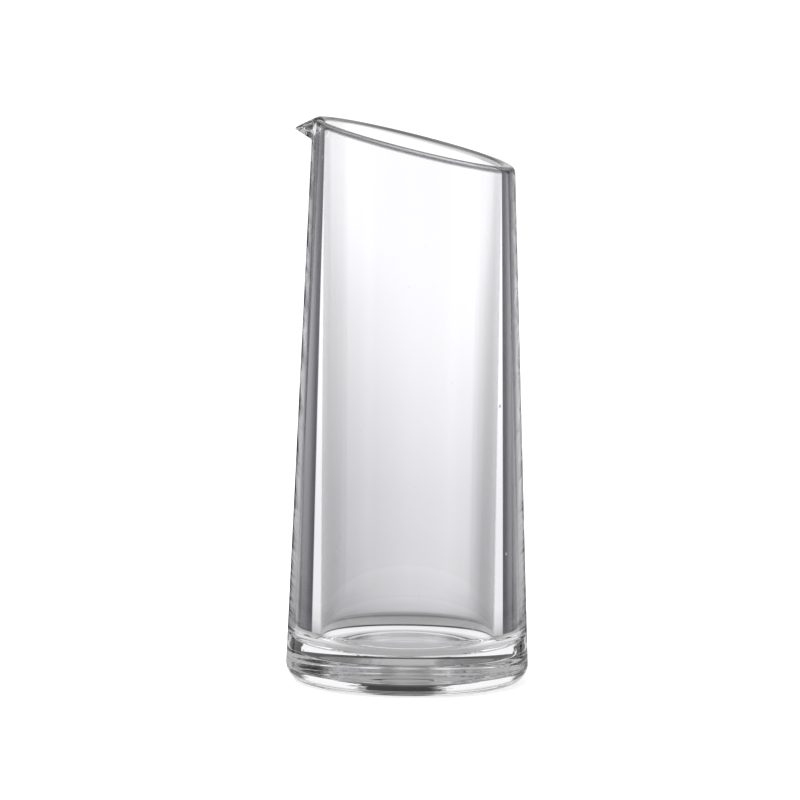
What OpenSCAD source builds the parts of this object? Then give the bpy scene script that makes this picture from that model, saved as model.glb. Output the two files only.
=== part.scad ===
// Clear glass liquor decanter: a thick foot, a tapered body with a slanted mouth,
// and a small pulled beak on the high side of the rim.
// Origin at the centre of the underside, +Z up, beak along -X. Millimetres.

/* [Foot] */
// Diameter of the tapered side carried down to the table
foot_d = 60.3; // [54:0.1:70]
// Glass under the floor of the cavity
foot_t = 8.8; // [7:0.1:16]
// Rounding of the lower outer edge
foot_round = 4.4; // [1:0.1:5]
// Rounding where the floor of the cavity meets its wall
floor_round = 4.4; // [1:0.1:6]
// Wall at the level of the cavity floor
foot_wall = 8.1; // [6:0.1:11]

/* [Body] */
// Height of the slanted rim where it crosses the axis
rim_h = 133.8; // [100:0.2:170]
// Outer diameter at that height
rim_d = 49.9; // [42:0.1:54]
// Wall at that height
rim_wall = 3; // [2.2:0.1:4.5]
// Slant of the rim from level, in degrees
rim_slant = 13.4; // [4:0.1:22]

/* [Pour beak] */
// How far the tip stands out from the wall
beak_reach = 4.2; // [3:0.1:7]
// Height of the root of the beak on the wall, under its lips
beak_root_h = 4.8; // [3.8:0.1:7]
// Radius of the round underside at the root
beak_root_r = 4.5; // [3.8:0.1:5]
// Narrowing of the beak towards its tip, half angle in degrees
beak_narrowing = 25; // [18:1:28]
// Step from the rim down to the lips at the wall
lip_step = 1; // [0.2:0.1:1.6]
// Fall of the lips from the wall to the tip, in degrees below level
lip_fall = 17; // [8:0.5:22]
// Glass between lips and underside at the tip
tip_t = 0.8; // [0.4:0.1:1.2]
// Lean of the blunt nose back from upright, in degrees
nose_lean = 42; // [0:1:50]
// Glass between the pour channel and the round underside
beak_wall = 1.5; // [1.1:0.1:1.8]

/* [Hidden] */
$fn = 128;
// Reach of cutting solids past what they cut
over = 1;

// Outer side: a straight cone from the table to the rim
side_taper = (foot_d - rim_d) / 2 / rim_h;
side_lean = atan(side_taper);
foot_round_x = foot_d / 2 - foot_round * (1 + sin(side_lean)) / cos(side_lean);

// Bore: nearly a cylinder, from the cavity floor to the rim
bore_floor_r = side_r(foot_t) - foot_wall;
bore_rim_r = rim_d / 2 - rim_wall;
bore_taper = (bore_floor_r - bore_rim_r) / (rim_h - foot_t);
bore_lean = atan(bore_taper);
floor_round_x = bore_floor_r - floor_round * (1 + sin(bore_lean)) / cos(bore_lean);
floor_round_z = foot_t + floor_round;
// Level at which the floor's rounding ends and the wall is joined to the foot
joint_z = floor_round_z + floor_round * sin(bore_lean);

// Highest point of the rim, on the outer edge above the beak
apex_r = rim_d / 2 / (1 + side_taper * tan(rim_slant));
apex_z = rim_h + apex_r * tan(rim_slant);
// Height of the wall before its rim is cut
blank_z = apex_z + over;
// Lengths by which the beak and its channel start inside the wall
beak_back = rim_wall / 2;
channel_back = 2 * rim_wall;
// Small end of the cones that shape the beak, past its tip
cone_end_r = 0.2;

// Side view of the beak, outwards from the wall and up from the start of its lips
tip_lip_z = -beak_reach * tan(lip_fall);
keel_z = tip_lip_z - tip_t;
keel_rise = atan((beak_root_h + keel_z) / beak_reach);
beak_axis_rise = keel_rise - beak_narrowing;
beak_axis_z = beak_root_r * cos(beak_narrowing) / cos(keel_rise) - beak_root_h;
nose_back = tip_t * tan(nose_lean);
channel_root_r = beak_root_r - beak_wall / cos(beak_narrowing);

// Outer radius of the body at a height
function side_r(z) = foot_d / 2 - side_taper * z;

// Radius of the bore at a height
function bore_r(z) = bore_floor_r - bore_taper * (z - foot_t);

// Half section of the foot, with its rounded lower edge
module foot_section() {
    translate([foot_round_x, foot_round])
        circle(foot_round);
    polygon([
        [0, 0],
        [foot_round_x, 0],
        [foot_round_x + foot_round * cos(side_lean), foot_round * (1 + sin(side_lean))],
        [side_r(joint_z), joint_z],
        [0, joint_z]
    ]);
}

// Half section of the dished lower end of the cavity
module floor_section() {
    translate([floor_round_x, floor_round_z])
        circle(floor_round);
    polygon([
        [0, foot_t],
        [floor_round_x, foot_t],
        [bore_r(joint_z), joint_z],
        [bore_r(joint_z + over), joint_z + over],
        [0, joint_z + over]
    ]);
}

// Half section of the wall, left long at the top for the slanted cut
module wall_section() {
    polygon([
        [bore_r(joint_z), joint_z],
        [side_r(joint_z), joint_z],
        [side_r(blank_z), blank_z],
        [bore_r(blank_z), blank_z]
    ]);
}

// Everything above the slanted rim
module above_rim() {
    translate([0, 0, rim_h])
        rotate([0, rim_slant, 0])
            translate([-foot_d, -foot_d, 0])
                cube(2 * foot_d);
}

// Solid filling the outer side of the body, up past the back of the beak
module body_blank() {
    top_z = apex_z + beak_back;
    cylinder(h = top_z, r1 = side_r(0), r2 = side_r(top_z));
}

// Puts what is drawn outwards along X at the start of the lips
module at_beak() {
    rotate([0, 0, 180])
        translate([apex_r, 0, apex_z - lip_step])
            children();
}

// Side view of the beak: lips, nose, and room below for the round underside
module beak_side() {
    polygon([
        [-beak_back, beak_back * tan(lip_fall)],
        [beak_reach - nose_back, -(beak_reach - nose_back) * tan(lip_fall)],
        [beak_reach, keel_z],
        [beak_reach, -2 * beak_root_h],
        [-beak_back, -2 * beak_root_h]
    ]);
}

// Cone along the beak, rising and narrowing past the tip, with a given radius at the root
module beak_cone(root_r, back) {
    translate([0, 0, beak_axis_z])
        rotate([0, 90 - beak_axis_rise, 0])
            translate([0, 0, -back])
                cylinder(
                    h = back + (root_r - cone_end_r) / tan(beak_narrowing),
                    r1 = root_r + back * tan(beak_narrowing),
                    r2 = cone_end_r
                );
}

module foot() {
    color([0.86, 0.88, 0.9, 0.6])
        rotate_extrude()
            difference() {
                foot_section();
                floor_section();
            }
}

module body_wall() {
    color([0.93, 0.95, 0.96, 0.4])
        difference() {
            rotate_extrude()
                wall_section();
            above_rim();
            at_beak()
                beak_cone(channel_root_r, channel_back);
        }
}

module pour_beak() {
    color([0.82, 0.84, 0.87, 0.6])
        difference() {
            at_beak()
                intersection() {
                    beak_cone(beak_root_r, beak_back);
                    rotate([90, 0, 0])
                        linear_extrude(2 * (beak_back + beak_root_r), center = true)
                            beak_side();
                }
            body_blank();
            at_beak()
                beak_cone(channel_root_r, channel_back);
        }
}

foot();
body_wall();
pour_beak();
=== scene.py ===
"""Clear glass liquor decanter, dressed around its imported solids, on a plain studio floor."""

import math

import bmesh
import bpy
from bpy.props import FloatProperty, FloatVectorProperty, IntProperty, PointerProperty
from mathutils import Matrix, Quaternion, Vector


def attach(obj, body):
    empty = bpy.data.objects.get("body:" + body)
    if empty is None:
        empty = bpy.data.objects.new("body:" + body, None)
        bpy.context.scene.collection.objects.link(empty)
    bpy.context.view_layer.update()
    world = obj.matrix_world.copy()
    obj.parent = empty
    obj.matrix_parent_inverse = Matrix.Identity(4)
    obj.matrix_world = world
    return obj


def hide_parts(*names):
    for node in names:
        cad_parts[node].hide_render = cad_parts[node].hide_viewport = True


bl_info = {
    "name": "Glass Decanter",
    "version": (1, 0, 0),
    "blender": (4, 5, 0),
    "location": "View3D > Sidebar > Decanter",
    "description": "Builds a clear glass liquor decanter and the studio stage it stands on",
    "category": "Add Mesh",
}

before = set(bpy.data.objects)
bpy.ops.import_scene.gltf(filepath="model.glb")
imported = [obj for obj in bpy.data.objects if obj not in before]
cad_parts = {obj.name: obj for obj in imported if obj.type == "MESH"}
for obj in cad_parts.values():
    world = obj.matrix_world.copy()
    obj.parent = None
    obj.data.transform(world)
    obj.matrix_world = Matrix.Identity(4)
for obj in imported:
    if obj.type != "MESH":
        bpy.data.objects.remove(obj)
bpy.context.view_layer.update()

MM = 0.001
IMAGE_SIDE = 800
ORIGIN = (0, 0, 0)
UP = Vector((0, 0, 1))
FULL_TURN = 2 * math.pi
HALF_TURN_DEGREES = 180
WHITE = (1, 1, 1, 1)

# Distances in metres at which points count as one, as lying on a ring or the rim, and as lying on a cut
SAME_PLACE = 1e-6
ON_RING = 1e-5
ON_CUT = 1e-7
# Steps across a ring of the underside and across the groove, and segments of the roundings
RIPPLE_STEPS = 8
GROOVE_STEPS = 10
ROUNDING_SEGMENTS = 12
POLISH_SEGMENTS = 7
# Height of the rows of faces below the rim
RIM_ROW = 0.35 * MM
# How far the finer columns and rows go, as multiples of the beak's width and root
FINE_WIDTHS = 1.3
FINE_ROOTS = 1.2
# Level floor outside the groove, as a share of the groove's width
GROOVE_LEDGE = 0.25
# Least angle between faces at an edge of the rim that is polished round
SHARP_EDGE = math.radians(45)
# Pull of the large faces on the normals, from 1 to 100
LARGE_FACE_WEIGHT = 100

# Attributes of the glass that its material reads to place the painted shade lines along the rim
RIM_DEPTH = "rim_depth"
OUTER_SIDE = "outer_side"
# Share of the wall, from its inner side, at which its outer half begins
OUTER_HALF = 0.5
# Light that has passed more faces of glass than this has come through the bore
BORE_PASSAGES = 2.5

# Greys of the ring of cards, by degrees round from the back towards +X, and their share by height in mm:
# THROUGH as light that passes straight shows them, MIRRORED as light that the glass has mirrored does
THROUGH_TONES = (
    (-180, 0.45), (-125, 0.45), (-115, 0.95), (-64.7, 1.0), (-63, 0.25), (-50, 0.26), (-44, 0.28), (-38, 0.3),
    (-34, 0.37), (-31, 0.42), (-28, 0.46), (-24, 0.49), (-19, 0.54), (-13, 0.6), (0, 0.7), (12, 0.74),
    (22, 0.68), (25, 0.6), (28, 0.53), (31, 0.45), (34, 0.36), (38, 0.3), (44, 0.27), (50, 0.26), (63, 0.25),
    (64.7, 1.0), (115, 0.95), (125, 0.45), (180, 0.45))
THROUGH_HEIGHTS = (
    (0, 0.2), (2, 0.33), (5, 0.5), (9, 0.58), (15, 0.61), (35, 0.66), (60, 0.79), (85, 0.95), (105, 1.15),
    (120, 1.25), (145, 1.25), (175, 0.6), (260, 0.5))
MIRRORED_TONES = (
    (-180, 0.45), (-125, 0.45), (-115, 0.9), (-66.2, 0.9), (-65, 0.03), (-58, 0.045), (-52, 0.13),
    (-40, 0.13), (-38.5, 0.02), (-35, 0.02), (-33.5, 0.16), (-31.6, 0.22), (-28, 0.36), (-23.5, 0.53),
    (-15, 0.61), (0, 0.7), (12, 0.74), (23.5, 0.6), (28, 0.38), (31.6, 0.22), (36, 0.13), (40.5, 0.13),
    (42, 0.02), (44.5, 0.02), (46, 0.13), (52, 0.13), (58, 0.045), (65, 0.03), (66.2, 0.9), (115, 0.9),
    (125, 0.45), (180, 0.45))
MIRRORED_HEIGHTS = (
    (0, 0.2), (2, 0.33), (5, 0.5), (9, 0.58), (15, 0.59), (35, 0.61), (60, 0.69), (85, 0.75), (110, 0.75),
    (145, 0.75), (175, 0.6), (260, 0.5))
# Greys of the two rows of the low card, by degrees round from the back towards +X
LOW_ROW_TONES = (
    (-100, 0.5), (-30, 0.6), (-12, 0.35), (-10.5, 0.2), (-7, 0.2), (-4.5, 0.3), (-3.2, 0.47), (3.2, 0.47),
    (4.5, 0.3), (7, 0.2), (10.5, 0.2), (12, 0.35), (30, 0.6), (100, 0.5))
HIGH_ROW_TONES = (
    (-100, 0.4), (-30, 0.45), (-16, 0.6), (-12.5, 0.95), (-6.2, 1.0), (-5.7, 0.005), (4.5, 0.005), (5.0, 1.0),
    (12.2, 0.95), (16, 0.55), (30, 0.4), (100, 0.4))
# Painted shadow of the floor as the glass shows it, by millimetres from the axis: grey under the foot and in
# dark rings round it
FLOOR_PAINTED_SHADOW = (
    (0, 0.36), (24, 0.42), (30, 0.7), (33, 1.0), (35.2, 0.9), (35.6, 0.03), (37.6, 0.03), (38.3, 0.38),
    (45, 0.36), (54, 0.32), (58, 0.17), (63, 0.17), (68, 0.3), (70, 0.34))
# Greys of the sky in the glass, from level to straight up
SKY_TONES = ((0, 1.0), (0.3, 0.8), (0.6, 0.6), (1, 0.5))
# Painted shade along the inner and the outer rounding of the rim: greys by millimetres below it, dark lines
# that stand in for the dark a rounded glass rim shows
INNER_RIM_PAINTED_SHADE = ((0, 0.07), (0.55, 0.08), (1, 1))
OUTER_RIM_PAINTED_SHADE = (
    (0, 0.1), (0.2, 0.25), (0.35, 0.55), (0.5, 0.35), (0.7, 0.06), (1.1, 0.06), (1.35, 0.35), (1.6, 1))


class DecanterSizes(bpy.types.PropertyGroup):
    """Sizes of the glass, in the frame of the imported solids."""

    foot_diameter: FloatProperty(
        name="Foot diameter",
        description="Diameter of the tapered side carried down to the table, a hair inside the solid's",
        default=60.29 * MM, min=0.05, max=0.07, unit="LENGTH")
    foot_thickness: FloatProperty(
        name="Foot thickness",
        description="Glass under the floor of the cavity",
        default=8.8 * MM, min=0.007, max=0.016, unit="LENGTH")
    punt: FloatProperty(
        name="Punt",
        description="How far the middle of the underside is drawn up",
        default=0.5 * MM, min=0, max=0.002, unit="LENGTH")
    ripple: FloatProperty(
        name="Underside ripple",
        description="Height of the shallow rings that pressing left in the underside",
        default=0.03 * MM, min=0, max=0.0003, unit="LENGTH")
    ripple_pitch: FloatProperty(
        name="Ripple pitch",
        description="Distance between those rings",
        default=4.5 * MM, min=0.001, max=0.01, unit="LENGTH")
    groove: FloatProperty(
        name="Floor groove",
        description="Depth of the shallow ring round the flat of the cavity floor",
        default=0.25 * MM, min=0, max=0.001, unit="LENGTH")
    groove_width: FloatProperty(
        name="Floor groove width",
        description="Width of that ring",
        default=1.3 * MM, min=0.0004, max=0.004, unit="LENGTH")
    foot_rounding: FloatProperty(
        name="Foot rounding",
        description="Radius of the lower outer edge",
        default=4.4 * MM, min=0.001, max=0.005, unit="LENGTH")
    floor_rounding: FloatProperty(
        name="Floor rounding",
        description="Radius where the floor of the cavity meets its wall",
        default=4.4 * MM, min=0.001, max=0.006, unit="LENGTH")
    foot_wall: FloatProperty(
        name="Wall at the foot",
        description="Wall at the level of the cavity floor",
        default=8.1 * MM, min=0.006, max=0.011, unit="LENGTH")
    rim_height: FloatProperty(
        name="Rim height",
        description="Height of the slanted rim where it crosses the axis",
        default=133.8 * MM, min=0.1, max=0.17, unit="LENGTH")
    rim_diameter: FloatProperty(
        name="Rim diameter",
        description="Outer diameter at that height",
        default=49.9 * MM, min=0.042, max=0.054, unit="LENGTH")
    rim_wall: FloatProperty(
        name="Wall at the rim",
        description="Wall at that height",
        default=3 * MM, min=0.0022, max=0.0045, unit="LENGTH")
    rim_slant: FloatProperty(
        name="Rim slant",
        description="Slant of the rim from level, down away from the beak",
        default=math.radians(13.4), min=0.05, max=0.4, subtype="ANGLE")
    rim_polish: FloatProperty(
        name="Rim polish",
        description="How far the fire-polished rounding of the rim's edges reaches",
        default=1.35 * MM, min=0.0002, max=0.0014, unit="LENGTH")
    beak_half_width: FloatProperty(
        name="Beak half width",
        description="Half the width of rim that is pulled out into the beak",
        default=5.6 * MM, min=0.003, max=0.008, unit="LENGTH")
    beak_reach: FloatProperty(
        name="Beak reach",
        description="How far the tip stands out from the wall",
        default=4.2 * MM, min=0.002, max=0.007, unit="LENGTH")
    beak_root: FloatProperty(
        name="Beak root",
        description="Depth below the rim at which the underside of the beak leaves the wall",
        default=5.8 * MM, min=0.003, max=0.008, unit="LENGTH")
    beak_fall: FloatProperty(
        name="Beak fall",
        description="How far the outer side of the rim drops at the tip",
        default=1.8 * MM, min=0, max=0.004, unit="LENGTH")
    lip_flat: FloatProperty(
        name="Lip flattening",
        description="Share of the rim's rounding that is pressed flat at the tip",
        default=0.5, min=0, max=0.9, subtype="FACTOR")
    channel_reach: FloatProperty(
        name="Channel reach",
        description="How far the inner side of the rim is pulled out into the beak",
        default=4.5 * MM, min=0.002, max=0.008, unit="LENGTH")
    channel_fall: FloatProperty(
        name="Channel fall",
        description="How far the inner side of the rim drops at the tip",
        default=0.8 * MM, min=0, max=0.003, unit="LENGTH")
    channel_length: FloatProperty(
        name="Channel length",
        description="Depth below the rim at which the bore begins to lean out into the beak",
        default=5.5 * MM, min=0.003, max=0.02, unit="LENGTH")
    channel_curve: FloatProperty(
        name="Channel curve",
        description="Power with which the bore leans out into the beak",
        default=2.5, min=1, max=4)
    channel_inset: FloatProperty(
        name="Channel inset",
        description="How much narrower the channel is than the beak, on each side",
        default=1 * MM, min=0, max=0.002, unit="LENGTH")
    # These three sizes only move the painted shade lines along the rim, not the glass itself
    shade_line_thinning: FloatProperty(
        name="Line thinning",
        description="How much thinner the rim's outer grey lines are at its high and its low end",
        default=0.6 * MM, min=0, max=0.002, unit="LENGTH")
    shade_line_thinning_width: FloatProperty(
        name="Line thinning width",
        description="How far the thinner lines reach along the rim, to each side of its ends",
        default=12 * MM, min=0.001, max=0.03, unit="LENGTH")
    channel_shade_line: FloatProperty(
        name="Channel line",
        description="How much further down the rim's inner grey line reaches in the beak's channel",
        default=1.2 * MM, min=0, max=0.004, unit="LENGTH")
    columns: IntProperty(
        name="Columns",
        description="Columns of faces round the glass, beside the beak",
        default=224, min=64, max=360)
    beak_columns: IntProperty(
        name="Beak columns",
        description="Columns of faces across the beak",
        default=48, min=16, max=96)


class GlassFinish(bpy.types.PropertyGroup):
    """Finish of the glass."""

    tint: FloatVectorProperty(
        name="Tint", description="Colour of the glass",
        default=(0.994, 0.99, 1.0), min=0, max=1, subtype="COLOR")
    ior: FloatProperty(
        name="Index of refraction", description="Index of refraction of the glass",
        default=1.5, min=1.3, max=1.8)
    # Reach of the painted shade lines along the rim
    shade_line_depth: FloatProperty(
        name="Rim line depth", description="How far below the rim its grey lines reach",
        default=1.8 * MM, unit="LENGTH")
    speck_spread: FloatProperty(
        name="Speck spread", description="Specks of dust along a metre",
        default=90, min=1)
    speck_size: FloatProperty(
        name="Speck size", description="Size of a speck as a share of the distance between specks",
        default=0.06, min=0, max=1)
    speck_roughness: FloatProperty(
        name="Speck roughness", description="Roughness of a speck",
        default=0.5, min=0, max=1)
    wave_spread: FloatProperty(
        name="Wave spread", description="Waves of the wall along a metre round it",
        default=60, min=1)
    wave_stretch: FloatProperty(
        name="Wave stretch", description="Pace of the waves up the wall, as a share of their pace round it",
        default=0.15, min=0, max=1)
    wave_height: FloatProperty(
        name="Wave height", description="Height of the waves",
        default=0.008 * MM, unit="LENGTH")


class StudioStage(bpy.types.PropertyGroup):
    """Floor, cards, light and camera."""

    floor_colour: FloatVectorProperty(
        name="Floor colour", description="Share of the lamp's light that the floor gives back",
        default=(0.7, 0.7, 0.7), min=0, max=1, subtype="COLOR")
    floor_glow: FloatProperty(
        name="Floor glow", description="White that the floor shows by itself, beside the lamp",
        default=0.7, min=0, max=1)
    floor_size: FloatProperty(
        name="Floor size", description="Side of the square floor",
        default=24, unit="LENGTH")
    floor_gap: FloatProperty(
        name="Floor gap", description="Air between the foot and the floor",
        default=0.2 * MM, unit="LENGTH")
    card_ring_radius: FloatProperty(
        name="Card ring radius", description="Distance of the cards from the axis",
        default=70 * MM, unit="LENGTH")
    card_ring_height: FloatProperty(
        name="Card ring height", description="Height of the cards",
        default=260 * MM, unit="LENGTH")
    card_columns: IntProperty(
        name="Card columns", description="Faces along the ring of cards, and along the low card",
        default=180, min=24, max=360)
    card_glow: FloatProperty(
        name="Card glow", description="Strength of the whitest card",
        default=1.7)
    card_white: FloatProperty(
        name="Card white", description="Lightest grey that light passing straight shows of the cards",
        default=0.63, min=0, max=2)
    card_shoulder: FloatProperty(
        name="Card shoulder", description="Range of greys over which the cards near that white",
        default=0.18, min=0, max=1)
    card_haze: FloatVectorProperty(
        name="Card haze", description="Faint colour that lies over the cards and the flags",
        default=(0.002, 0, 0.007), min=0, max=1, subtype="COLOR")
    low_card_radius: FloatProperty(
        name="Low card radius", description="Distance of the low card behind the foot from the axis",
        default=31.5 * MM, unit="LENGTH")
    low_card_split: FloatProperty(
        name="Low card split", description="Height at which the two rows of the low card meet",
        default=2.75 * MM, unit="LENGTH")
    low_card_line: FloatProperty(
        name="Low card line", description="Height of the dark line between the two rows",
        default=0.4 * MM, unit="LENGTH")
    low_card_dark: FloatProperty(
        name="Low card dark", description="Grey of that line",
        default=0.06, min=0, max=1, subtype="FACTOR")
    low_card_top: FloatProperty(
        name="Low card top",
        description="Height up to which the upper row is grey to light that the foot mirrors",
        default=4 * MM, unit="LENGTH")
    low_card_grey: FloatProperty(
        name="Low card grey", description="That grey",
        default=0.38, min=0, max=1, subtype="FACTOR")
    low_card_height: FloatProperty(
        name="Low card height", description="Height of the low card",
        default=11 * MM, unit="LENGTH")
    low_card_reach: FloatProperty(
        name="Low card reach", description="How far round the low card goes",
        default=math.radians(200), subtype="ANGLE")
    rag_spread: FloatProperty(
        name="Rag spread", description="Rags along a metre at the ends of the low card's strips",
        default=1500, min=1)
    rag_reach: FloatProperty(
        name="Rag reach", description="How far the rags shift those ends",
        default=math.radians(4), min=0, subtype="ANGLE")
    fill: FloatProperty(
        name="Fill", description="Strength of the even light all round",
        default=0.5)
    lamp_power: FloatProperty(
        name="Lamp power", description="Power of the soft lamp",
        default=30, unit="POWER")
    lamp_size: FloatProperty(
        name="Lamp size", description="Side of the soft lamp",
        default=1.2, unit="LENGTH")
    lamp_place: FloatVectorProperty(
        name="Lamp place", description="Where the soft lamp hangs",
        default=(-0.5, -0.6, 1.6), unit="LENGTH")
    mirrorings: IntProperty(
        name="Mirrorings", description="How often light may be mirrored inside the glass",
        default=48, min=4, max=64)
    passages: IntProperty(
        name="Passages", description="How often light may pass a face of the glass",
        default=12, min=4, max=64)
    camera_azimuth: FloatProperty(
        name="Camera azimuth", description="Turn of the camera about the decanter",
        default=0, subtype="ANGLE")
    camera_elevation: FloatProperty(
        name="Camera elevation", description="Height of the camera as an angle",
        default=math.radians(6.968), subtype="ANGLE")
    camera_roll: FloatProperty(
        name="Camera roll", description="Turn of the camera about its own axis",
        default=math.radians(0.672), subtype="ANGLE")
    camera_distance: FloatProperty(
        name="Camera distance", description="Distance from the camera to what it looks at",
        default=1.6544, unit="LENGTH")
    camera_focus: FloatProperty(
        name="Focal length", description="Focal length in pixels of the square image",
        default=6703.0)
    aim_right: FloatProperty(
        name="Aim right", description="Sideways place of what the camera looks at",
        default=-2.48 * MM, unit="LENGTH")
    aim_height: FloatProperty(
        name="Aim height", description="Height of what the camera looks at",
        default=69.742 * MM, unit="LENGTH")


class GlassShape:
    """Cones, planes and heights that follow from the decanter's sizes."""

    def __init__(self, sizes):
        self.sizes = sizes
        self.foot_r = sizes.foot_diameter / 2
        self.rim_r = sizes.rim_diameter / 2
        self.side_taper = (self.foot_r - self.rim_r) / sizes.rim_height
        self.bore_floor_r = self.side_r(sizes.foot_thickness) - sizes.foot_wall
        bore_rise = sizes.rim_height - sizes.foot_thickness
        self.bore_taper = (self.bore_floor_r - self.rim_r + sizes.rim_wall) / bore_rise
        self.rim_fall = math.tan(sizes.rim_slant)
        self.apex_r = self.rim_r / (1 + self.side_taper * self.rim_fall)
        self.blank_z = sizes.rim_height + self.foot_r * self.rim_fall

    def side_r(self, z):
        """Outer radius at a height."""
        return self.foot_r - self.side_taper * z

    def bore_r(self, z):
        """Radius of the bore at a height."""
        return self.bore_floor_r - self.bore_taper * (z - self.sizes.foot_thickness)

    def rim_z(self, x):
        """Height of the slanted rim at a place along X."""
        return self.sizes.rim_height - x * self.rim_fall

    def rim_place(self, point):
        """A point's way along the rim from the beak, depth below the rim and share through the wall."""
        x, y, z = point
        along = self.apex_r * math.atan2(y, -x)
        below = self.rim_z(x) - z
        outer_r = self.side_r(z)
        through = (outer_r - math.hypot(x, y)) / (outer_r - self.bore_r(z))
        return along, below, clamp(through)


def clamp(share):
    """A share kept within 0 and 1."""
    return min(max(share, 0.0), 1.0)


def bump_share(place, reach):
    """Smooth share of a pull: 1 in the middle, 0 at its reach and past it."""
    if abs(place) >= reach:
        return 0.0
    return math.cos(math.pi / 2 * place / reach) ** 2


def fade(depth, start, end):
    """Share that is 1 down to a start and falls evenly to 0 at an end."""
    return clamp((end - depth) / (end - start))


def wave(turns):
    """Wave that is 0 at each whole number and 2 halfway between."""
    return 1 - math.cos(FULL_TURN * turns)


def underside_chain(shape):
    """Half section of the drawn-up underside with its shallow rings, from the axis outwards."""
    sizes = shape.sizes
    edge = shape.foot_r - sizes.foot_rounding - sizes.ripple_pitch / 2
    count = round(edge / sizes.ripple_pitch * RIPPLE_STEPS)
    chain = []
    for step in range(count + 1):
        r = edge * step / count
        drawn_up = sizes.punt * (1 - (r / edge) ** 2)
        chain.append((r, drawn_up + sizes.ripple / 2 * wave((edge - r) / sizes.ripple_pitch)))
    return chain


def floor_chain(shape):
    """Half section of the cavity floor with its shallow ring, from the wall inwards."""
    sizes = shape.sizes
    start = shape.bore_floor_r - sizes.floor_rounding - GROOVE_LEDGE * sizes.groove_width
    chain = []
    for step in range(GROOVE_STEPS + 1):
        share = step / GROOVE_STEPS
        chain.append((start - sizes.groove_width * share,
                      sizes.foot_thickness - sizes.groove / 2 * wave(share)))
    return chain + [(0, sizes.foot_thickness)]


def spin_sections(bm, shape):
    """Spins the half section into the outer and the inner skin, with finer columns at the beak."""
    sizes = shape.sizes
    top = shape.blank_z
    outer = underside_chain(shape) + [(shape.foot_r, 0), (shape.side_r(top), top)]
    inner = [(shape.bore_r(top), top), (shape.bore_floor_r, sizes.foot_thickness)] + floor_chain(shape)
    for chain in (outer, inner):
        verts = [bm.verts.new((r, 0, z)) for r, z in chain]
        for a, b in zip(verts, verts[1:]):
            bm.edges.new((a, b))
    beak_angle = FINE_WIDTHS * 2 * sizes.beak_half_width / shape.apex_r
    start = Matrix.Rotation(math.pi - beak_angle / 2, 3, "Z")
    bmesh.ops.rotate(bm, verts=bm.verts[:], cent=ORIGIN, matrix=start)
    section = bm.verts[:] + bm.edges[:]
    beak = bmesh.ops.spin(bm, geom=section, cent=ORIGIN, axis=UP, angle=beak_angle,
                          steps=sizes.beak_columns, use_merge=False)
    bmesh.ops.spin(bm, geom=beak["geom_last"], cent=ORIGIN, axis=UP, angle=FULL_TURN - beak_angle,
                   steps=sizes.columns, use_merge=False)
    bmesh.ops.remove_doubles(bm, verts=bm.verts[:], dist=SAME_PLACE)


def round_edges(bm, edges, offset, segments):
    """Rounds edges with a bevel."""
    if not edges:
        raise RuntimeError("The glass has no edges to round there")
    bmesh.ops.bevel(bm, geom=edges, offset=offset, offset_type="OFFSET", segments=segments,
                    profile=0.5, affect="EDGES", material=-1, clamp_overlap=False)


def round_ring(bm, ring_r, z, radius, taper):
    """Rounds the level ring where a flat meets a side that leans by its taper."""
    def on_ring(v):
        return abs(v.co.z - z) < SAME_PLACE and abs(v.co.xy.length - ring_r) < ON_RING
    edges = [e for e in bm.edges if all(on_ring(v) for v in e.verts)]
    lean = math.atan(taper)
    round_edges(bm, edges, radius * (1 + math.sin(lean)) / math.cos(lean), ROUNDING_SEGMENTS)


def cut_rim(bm, shape):
    """Cuts the slanted rim, with rows of faces below it, and joins and polishes the two skins there."""
    sizes = shape.sizes
    normal = Vector((math.sin(sizes.rim_slant), 0, math.cos(sizes.rim_slant)))
    rim = Vector((0, 0, sizes.rim_height))
    deepest = max(sizes.channel_length, FINE_ROOTS * sizes.beak_root)
    depths = [0.0]
    depth = sizes.rim_polish + RIM_ROW
    while depth < deepest:
        depths.append(depth)
        depth += RIM_ROW
    for depth in depths:
        bmesh.ops.bisect_plane(
            bm, geom=bm.verts[:] + bm.edges[:] + bm.faces[:], dist=ON_CUT,
            plane_co=rim - normal * depth, plane_no=normal, clear_outer=depth == 0)
    open_edges = [e for e in bm.edges if e.is_boundary]
    bmesh.ops.bridge_loops(bm, edges=open_edges)
    rim_edges = [e for e in bm.edges
                 if all(abs(v.co.z - shape.rim_z(v.co.x)) < ON_RING for v in e.verts)
                 and len(e.link_faces) == 2 and e.calc_face_angle(0) > SHARP_EDGE]
    round_edges(bm, rim_edges, sizes.rim_polish, POLISH_SEGMENTS)


def mark_rim(bm, shape):
    """Stores how deep below the rim each vertex lies and on which side, for the painted shade lines along the
    rim; the depth is shifted so the lines are thinner at the rim's ends and deeper in the channel.
    """
    sizes = shape.sizes
    rim_depth = bm.verts.layers.float.new(RIM_DEPTH)
    outer_side = bm.verts.layers.float.new(OUTER_SIDE)
    for v in bm.verts:
        along, below, through = shape.rim_place(v.co)
        from_end = min(abs(along), math.pi * shape.apex_r - abs(along))
        thinned = sizes.shade_line_thinning * bump_share(from_end, sizes.shade_line_thinning_width)
        widened = sizes.channel_shade_line * bump_share(along, sizes.beak_half_width)
        v[rim_depth] = below * math.cos(sizes.rim_slant) + thinned * (1 - through) - widened * through
        v[outer_side] = 1 - through


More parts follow.
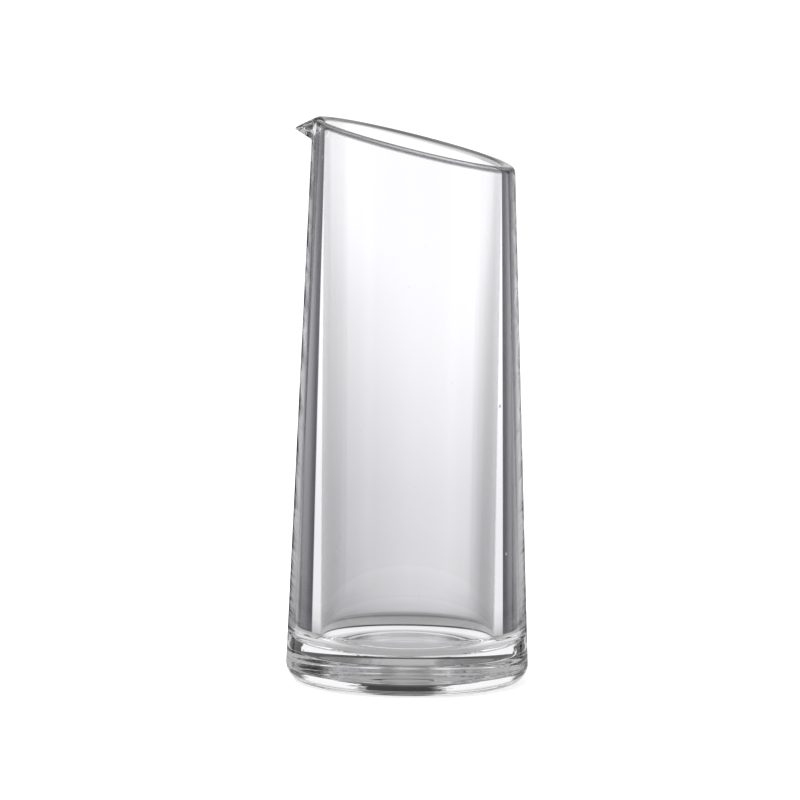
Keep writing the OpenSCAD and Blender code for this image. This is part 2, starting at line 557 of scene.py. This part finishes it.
def pull_beak(bm, shape):
    """Pulls the high side of the rim out into the beak, and the bore out into its channel."""
    sizes = shape.sizes
    polish = sizes.rim_polish
    deepest = max(sizes.channel_length, sizes.beak_root)
    for v in bm.verts:
        along, below, through = shape.rim_place(v.co)
        beak = bump_share(along, sizes.beak_half_width)
        if not beak or below > deepest:
            continue
        root = polish + (sizes.beak_root - polish) * math.sqrt(beak)
        lift = beak * fade(below, polish, root) * (1 - through)
        channel = bump_share(along, sizes.beak_half_width - sizes.channel_inset)
        dip = channel * fade(below, polish, sizes.channel_length) ** sizes.channel_curve * through
        pressed = sizes.lip_flat * beak * max(0.0, polish - below)
        out = sizes.beak_reach * lift + sizes.channel_reach * dip
        down = sizes.beak_fall * lift + sizes.channel_fall * dip + pressed
        v.co += Vector((-out, 0, -down))


def make_piece(name, bm):
    """A new object at the origin from a bmesh, with smooth faces that point outwards."""
    bmesh.ops.recalc_face_normals(bm, faces=bm.faces[:])
    for face in bm.faces:
        face.smooth = True
    mesh = bpy.data.meshes.new(name)
    bm.to_mesh(mesh)
    bm.free()
    piece = bpy.data.objects.new(name, mesh)
    bpy.context.scene.collection.objects.link(piece)
    return piece


def new_material(name):
    """A new material with an empty node tree and its output."""
    material = bpy.data.materials.new(name)
    material.use_nodes = True
    tree = material.node_tree
    tree.nodes.clear()
    return material, tree, tree.nodes.new("ShaderNodeOutputMaterial")


def add_node(tree, kind, **settings):
    """A new node, with its settings."""
    node = tree.nodes.new(kind)
    for name, value in settings.items():
        setattr(node, name, value)
    return node


def feed(tree, socket, value):
    """Links an output to an input socket, or sets the socket to a plain value."""
    if isinstance(value, bpy.types.NodeSocket):
        tree.links.new(value, socket)
    else:
        socket.default_value = value


def calculate(tree, operation, *terms):
    """Output of a Math node on terms that are outputs or plain numbers."""
    node = add_node(tree, "ShaderNodeMath", operation=operation)
    for socket, term in zip(node.inputs, terms):
        feed(tree, socket, term)
    return node.outputs[0]


def map_range(tree, value, low, high, to_low=0, to_high=1):
    """Output that goes evenly from one end to the other while a value goes from low to high."""
    node = add_node(tree, "ShaderNodeMapRange")
    feed(tree, node.inputs["Value"], value)
    feed(tree, node.inputs["From Min"], low)
    feed(tree, node.inputs["From Max"], high)
    feed(tree, node.inputs["To Min"], to_low)
    feed(tree, node.inputs["To Max"], to_high)
    return node.outputs["Result"]


def grey_colour(grey):
    """A grey as a colour."""
    return (grey, grey, grey, 1)


def grey_ramp(tree, value, tones, low=0, high=1):
    """Colour output of greys along a value from low to high, by pairs of a place in that range and a grey."""
    ramp = add_node(tree, "ShaderNodeValToRGB")
    feed(tree, ramp.inputs["Fac"], value)
    stops = [((place - low) / (high - low), grey_colour(grey)) for place, grey in tones]
    elements = ramp.color_ramp.elements
    elements.remove(elements[-1])
    elements[0].position, elements[0].color = stops[0]
    for place, colour in stops[1:]:
        elements.new(place).color = colour
    return ramp.outputs["Color"]


def mix_colours(tree, share, a, b, blend_type="MIX"):
    """Colour output of a mix of two colours, each an output or a plain colour."""
    node = add_node(tree, "ShaderNodeMix", data_type="RGBA", blend_type=blend_type)
    feed(tree, node.inputs["Factor"], share)
    feed(tree, node.inputs["A"], a)
    feed(tree, node.inputs["B"], b)
    return node.outputs["Result"]


def mix_shaders(tree, share, a, b):
    """Shader output of a mix of two shaders."""
    node = add_node(tree, "ShaderNodeMixShader")
    feed(tree, node.inputs["Fac"], share)
    feed(tree, node.inputs[1], a)
    feed(tree, node.inputs[2], b)
    return node.outputs[0]


def glow(tree, colour, strength=1):
    """Shader output that shows a colour by its own light."""
    node = add_node(tree, "ShaderNodeEmission")
    feed(tree, node.inputs["Color"], colour)
    feed(tree, node.inputs["Strength"], strength)
    return node.outputs[0]


def object_place(tree):
    """Output of the place on an object, in the object's own coordinates."""
    return add_node(tree, "ShaderNodeTexCoord").outputs["Object"]


def turn_and_height(tree, place):
    """Outputs of a place's angle round the axis, from the back towards +X, and of its height."""
    split = add_node(tree, "ShaderNodeSeparateXYZ")
    feed(tree, split.inputs["Vector"], place)
    return calculate(tree, "ARCTAN2", split.outputs["X"], split.outputs["Y"]), split.outputs["Z"]


def glass_material(finish):
    """Clear fire-polished glass with painted shade lines along the rim, faint waves and a few specks."""
    material = bpy.data.materials.new("clear_glass")
    material.use_nodes = True
    tree = material.node_tree
    shader = tree.nodes["Principled BSDF"]
    place = object_place(tree)
    feed(tree, shader.inputs["Transmission Weight"], 1)
    feed(tree, shader.inputs["IOR"], finish.ior)
    # The base colour carries the painted shade lines along the rim
    feed(tree, shader.inputs["Base Color"], painted_rim_shade(tree, finish))
    feed(tree, shader.inputs["Roughness"], speck_roughness(tree, place, finish))
    feed(tree, shader.inputs["Normal"], wave_normal(tree, place, finish))
    return material


def painted_rim_shade(tree, finish):
    """Colour output: the clear tint, with painted shade along the two roundings of the rim, grey lines that
    stand in for the dark a rounded rim shows.
    """
    depth = add_node(tree, "ShaderNodeAttribute", attribute_name=RIM_DEPTH).outputs["Fac"]
    share = map_range(tree, depth, 0, finish.shade_line_depth)
    deepest = finish.shade_line_depth / MM
    inner = grey_ramp(tree, share, INNER_RIM_PAINTED_SHADE, 0, deepest)
    outer = grey_ramp(tree, share, OUTER_RIM_PAINTED_SHADE, 0, deepest)
    side = add_node(tree, "ShaderNodeAttribute", attribute_name=OUTER_SIDE).outputs["Fac"]
    lines = mix_colours(tree, calculate(tree, "GREATER_THAN", side, OUTER_HALF), inner, outer)
    return mix_colours(tree, 1, lines, (*finish.tint, 1), "MULTIPLY")


def speck_roughness(tree, place, finish):
    """Roughness output: polished, with a few specks of dust."""
    dust = add_node(tree, "ShaderNodeTexVoronoi", feature="F1")
    feed(tree, dust.inputs["Scale"], finish.speck_spread)
    feed(tree, dust.inputs["Vector"], place)
    return map_range(tree, dust.outputs["Distance"], finish.speck_size, 0, 0, finish.speck_roughness)


def wave_normal(tree, place, finish):
    """Normal output: faint waves that run up the wall."""
    stretch = add_node(tree, "ShaderNodeMapping")
    feed(tree, stretch.inputs["Scale"], (1, 1, finish.wave_stretch))
    feed(tree, stretch.inputs["Vector"], place)
    noise = add_node(tree, "ShaderNodeTexNoise")
    feed(tree, noise.inputs["Scale"], finish.wave_spread)
    feed(tree, noise.inputs["Vector"], stretch.outputs["Vector"])
    bump = add_node(tree, "ShaderNodeBump")
    feed(tree, bump.inputs["Distance"], finish.wave_height)
    feed(tree, bump.inputs["Height"], noise.outputs["Fac"])
    return bump.outputs["Normal"]


class DECANTER_OT_glass(bpy.types.Operator):
    """Builds the decanter's glass: foot, tapered wall, slanted rim and pulled beak in one skin"""

    bl_idname = "decanter.glass"
    bl_label = "Build Glass"

    def execute(self, context):
        sizes = context.scene.decanter_sizes
        shape = GlassShape(sizes)
        bm = bmesh.new()
        spin_sections(bm, shape)
        round_ring(bm, shape.foot_r, 0, sizes.foot_rounding, shape.side_taper)
        round_ring(bm, shape.bore_floor_r, sizes.foot_thickness, sizes.floor_rounding, shape.bore_taper)
        cut_rim(bm, shape)
        mark_rim(bm, shape)
        pull_beak(bm, shape)
        piece = make_piece("decanter_glass", bm)
        normals = piece.modifiers.new("even_normals", "WEIGHTED_NORMAL")
        normals.weight = LARGE_FACE_WEIGHT
        piece.data.materials.append(glass_material(context.scene.decanter_finish))
        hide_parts("foot", "body_wall", "pour_beak")
        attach(piece, "root")
        return {"FINISHED"}


def floor_material(stage):
    """Pale studio floor that keeps a real soft shadow for the camera, and shows the glass a painted shadow:
    greys under and round the foot.
    """
    material, tree, output = new_material("studio_floor")
    away = add_node(tree, "ShaderNodeVectorMath", operation="LENGTH")
    feed(tree, away.inputs[0], object_place(tree))
    share = map_range(tree, away.outputs["Value"], 0, stage.card_ring_radius)
    # Painted shadow: emitted greys round the foot, which only the glass sees
    greys = glow(tree, grey_ramp(tree, share, FLOOR_PAINTED_SHADOW, 0, stage.card_ring_radius / MM))
    lit = add_node(tree, "ShaderNodeBsdfDiffuse")
    feed(tree, lit.inputs["Color"], (*stage.floor_colour, 1))
    pale = add_node(tree, "ShaderNodeAddShader")
    feed(tree, pale.inputs[0], glow(tree, WHITE, stage.floor_glow))
    feed(tree, pale.inputs[1], lit.outputs[0])
    path = add_node(tree, "ShaderNodeLightPath")
    look = mix_shaders(tree, path.outputs["Is Camera Ray"], greys, pale.outputs[0])
    feed(tree, output.inputs["Surface"], look)
    return material


def card_ring_material(stage):
    """White cards and dark flags round the decanter, seen only in and through its glass."""
    material, tree, output = new_material("card_ring")
    angle, height = turn_and_height(tree, object_place(tree))
    turn = map_range(tree, angle, -math.pi, math.pi)
    rise = map_range(tree, height, 0, stage.card_ring_height)
    looks = []
    for tones, heights in ((THROUGH_TONES, THROUGH_HEIGHTS), (MIRRORED_TONES, MIRRORED_HEIGHTS)):
        across = grey_ramp(tree, turn, tones, -HALF_TURN_DEGREES, HALF_TURN_DEGREES)
        upwards = grey_ramp(tree, rise, heights, 0, stage.card_ring_height / MM)
        looks.append(mix_colours(tree, 1, across, upwards, "MULTIPLY"))
    through, mirrored = looks
    soft = calculate(tree, "SMOOTH_MIN", through, stage.card_white, stage.card_shoulder)
    path = add_node(tree, "ShaderNodeLightPath")
    tone = mix_colours(tree, path.outputs["Glossy Depth"], soft, mirrored)
    hazy = mix_colours(tree, 1, tone, (*stage.card_haze, 1), "ADD")
    feed(tree, output.inputs["Surface"], glow(tree, hazy, stage.card_glow))
    material.cycles.emission_sampling = "NONE"
    return material


def low_card_material(stage):
    """Two rows of white and dark strips close behind the foot, with ragged ends."""
    material, tree, output = new_material("low_card")
    place = object_place(tree)
    angle, height = turn_and_height(tree, place)
    rags = add_node(tree, "ShaderNodeTexNoise")
    feed(tree, rags.inputs["Scale"], stage.rag_spread)
    feed(tree, rags.inputs["Vector"], place)
    shift = map_range(tree, rags.outputs["Fac"], 0, 1, -stage.rag_reach, stage.rag_reach)
    end = stage.low_card_reach / 2
    turn = map_range(tree, calculate(tree, "ADD", angle, shift), -end, end)
    end_degrees = math.degrees(end)
    low_row = grey_ramp(tree, turn, LOW_ROW_TONES, -end_degrees, end_degrees)
    high_row = grey_ramp(tree, turn, HIGH_ROW_TONES, -end_degrees, end_degrees)
    in_high_row = calculate(tree, "GREATER_THAN", height, stage.low_card_split)
    above_line = calculate(tree, "GREATER_THAN", height, stage.low_card_split + stage.low_card_line)
    lined = mix_colours(tree, above_line, grey_colour(stage.low_card_dark), high_row)
    through = mix_colours(tree, in_high_row, low_row, lined)
    under_top = calculate(tree, "LESS_THAN", height, stage.low_card_top)
    in_band = calculate(tree, "MULTIPLY", in_high_row, under_top)
    mirrored = mix_colours(tree, in_band, high_row, grey_colour(stage.low_card_grey))
    path = add_node(tree, "ShaderNodeLightPath")
    tone = mix_colours(tree, path.outputs["Glossy Depth"], through, mirrored)
    from_bore = calculate(tree, "GREATER_THAN", path.outputs["Transmission Depth"], BORE_PASSAGES)
    clear = add_node(tree, "ShaderNodeBsdfTransparent").outputs[0]
    feed(tree, output.inputs["Surface"], mix_shaders(tree, from_bore, glow(tree, tone), clear))
    material.cycles.emission_sampling = "NONE"
    return material


def studio_sky(stage):
    """Even white sky, with greys of its own in the glass."""
    world = bpy.data.worlds.new("studio")
    world.use_nodes = True
    tree = world.node_tree
    tree.nodes.clear()
    output = add_node(tree, "ShaderNodeOutputWorld")
    fill = add_node(tree, "ShaderNodeBackground")
    feed(tree, fill.inputs["Color"], WHITE)
    feed(tree, fill.inputs["Strength"], stage.fill)
    direction = add_node(tree, "ShaderNodeTexCoord").outputs["Generated"]
    split = add_node(tree, "ShaderNodeSeparateXYZ")
    feed(tree, split.inputs["Vector"], direction)
    greys = grey_ramp(tree, split.outputs["Z"], SKY_TONES)
    path = add_node(tree, "ShaderNodeLightPath")
    to_camera = path.outputs["Is Camera Ray"]
    shown = add_node(tree, "ShaderNodeBackground")
    feed(tree, shown.inputs["Color"], mix_colours(tree, to_camera, greys, WHITE))
    in_glass = calculate(tree, "MAXIMUM", path.outputs["Is Glossy Ray"], path.outputs["Is Transmission Ray"])
    seen = calculate(tree, "MAXIMUM", to_camera, in_glass)
    feed(tree, output.inputs["Surface"], mix_shaders(tree, seen, fill.outputs[0], shown.outputs[0]))
    return world


class DECANTER_OT_stage(bpy.types.Operator):
    """Sets up the floor, the cards, the light and the camera"""

    bl_idname = "decanter.stage"
    bl_label = "Set Stage"

    def execute(self, context):
        scene = context.scene
        stage = scene.decanter_stage
        self.add_floor(stage)
        self.add_card("card_ring", card_ring_material(stage), stage.card_ring_radius,
                      stage.card_ring_height, FULL_TURN, stage.card_columns)
        self.add_card("low_card", low_card_material(stage), stage.low_card_radius,
                      stage.low_card_height, stage.low_card_reach, stage.card_columns)
        scene.world = studio_sky(stage)
        self.add_lamp(scene, stage)
        self.add_camera(scene, stage)
        scene.view_settings.view_transform = "Standard"
        scene.cycles.glossy_bounces = stage.mirrorings
        scene.cycles.transmission_bounces = stage.passages
        scene.cycles.max_bounces = stage.mirrorings + stage.passages
        return {"FINISHED"}

    def add_floor(self, stage):
        """Wide level floor, a hair under the foot."""
        bm = bmesh.new()
        bmesh.ops.create_grid(bm, x_segments=1, y_segments=1, size=stage.floor_size / 2)
        bmesh.ops.translate(bm, verts=bm.verts[:], vec=(0, 0, -stage.floor_gap))
        floor = make_piece("studio_floor", bm)
        floor.data.materials.append(floor_material(stage))

    def add_card(self, name, material, radius, height, reach, columns):
        """Card bent round the axis, to both sides from the back, that only the glass shows."""
        bm = bmesh.new()
        low = bm.verts.new((radius, 0, 0))
        high = bm.verts.new((radius, 0, height))
        edge = bm.edges.new((low, high))
        start = Matrix.Rotation((math.pi - reach) / 2, 3, "Z")
        bmesh.ops.rotate(bm, verts=bm.verts[:], cent=ORIGIN, matrix=start)
        bmesh.ops.spin(bm, geom=[low, high, edge], cent=ORIGIN, axis=UP, angle=reach, steps=columns,
                       use_merge=reach == FULL_TURN)
        card = make_piece(name, bm)
        card.data.materials.append(material)
        card.visible_camera = False
        card.visible_diffuse = False
        card.visible_shadow = False

    def add_lamp(self, scene, stage):
        """One wide soft lamp that the glass doesn't show."""
        data = bpy.data.lights.new("soft_lamp", "AREA")
        data.size = stage.lamp_size
        data.energy = stage.lamp_power
        lamp = bpy.data.objects.new("soft_lamp", data)
        lamp.location = stage.lamp_place
        lamp.rotation_mode = "QUATERNION"
        lamp.rotation_quaternion = (-lamp.location).to_track_quat("-Z", "Y")
        lamp.visible_glossy = False
        lamp.visible_transmission = False
        scene.collection.objects.link(lamp)

    def add_camera(self, scene, stage):
        """Camera at the viewing angle, framed for a square image."""
        a, e = stage.camera_azimuth, stage.camera_elevation
        back = Vector((math.sin(a) * math.cos(e), -math.cos(a) * math.cos(e), math.sin(e)))
        right = Vector((math.cos(a), math.sin(a), 0))
        aim = right * stage.aim_right + UP * stage.aim_height
        data = bpy.data.cameras.new("camera")
        data.sensor_fit = "HORIZONTAL"
        data.lens = data.sensor_width * stage.camera_focus / IMAGE_SIDE
        data.clip_end = stage.floor_size
        camera = bpy.data.objects.new("camera", data)
        camera.location = aim + back * stage.camera_distance
        camera.rotation_mode = "QUATERNION"
        camera.rotation_quaternion = (-back).to_track_quat("-Z", "Y") @ Quaternion(UP, stage.camera_roll)
        scene.collection.objects.link(camera)
        scene.camera = camera


class DECANTER_PT_panel(bpy.types.Panel):
    """Lists the decanter's pieces and stage"""

    bl_label = "Glass Decanter"
    bl_idname = "DECANTER_PT_panel"
    bl_space_type = "VIEW_3D"
    bl_region_type = "UI"
    bl_category = "Decanter"

    def draw(self, context):
        for operator in OPERATORS:
            self.layout.operator(operator.bl_idname)


OPERATORS = (DECANTER_OT_glass, DECANTER_OT_stage)
GROUPS = {"decanter_sizes": DecanterSizes, "decanter_finish": GlassFinish,
          "decanter_stage": StudioStage}


def register():
    """Registers the classes, and gives each scene its groups of settings."""
    for group in GROUPS.values():
        bpy.utils.register_class(group)
    for name, group in GROUPS.items():
        setattr(bpy.types.Scene, name, PointerProperty(type=group))
    for operator in OPERATORS:
        bpy.utils.register_class(operator)
    bpy.utils.register_class(DECANTER_PT_panel)


def unregister():
    """Takes back what register did."""
    bpy.utils.unregister_class(DECANTER_PT_panel)
    for operator in reversed(OPERATORS):
        bpy.utils.unregister_class(operator)
    for name in GROUPS:
        delattr(bpy.types.Scene, name)
    for group in reversed(GROUPS.values()):
        bpy.utils.unregister_class(group)


def main():
    """Builds the decanter and its stage."""
    register()
    bpy.ops.decanter.glass()
    bpy.ops.decanter.stage()


if __name__ == "__main__":
    main()
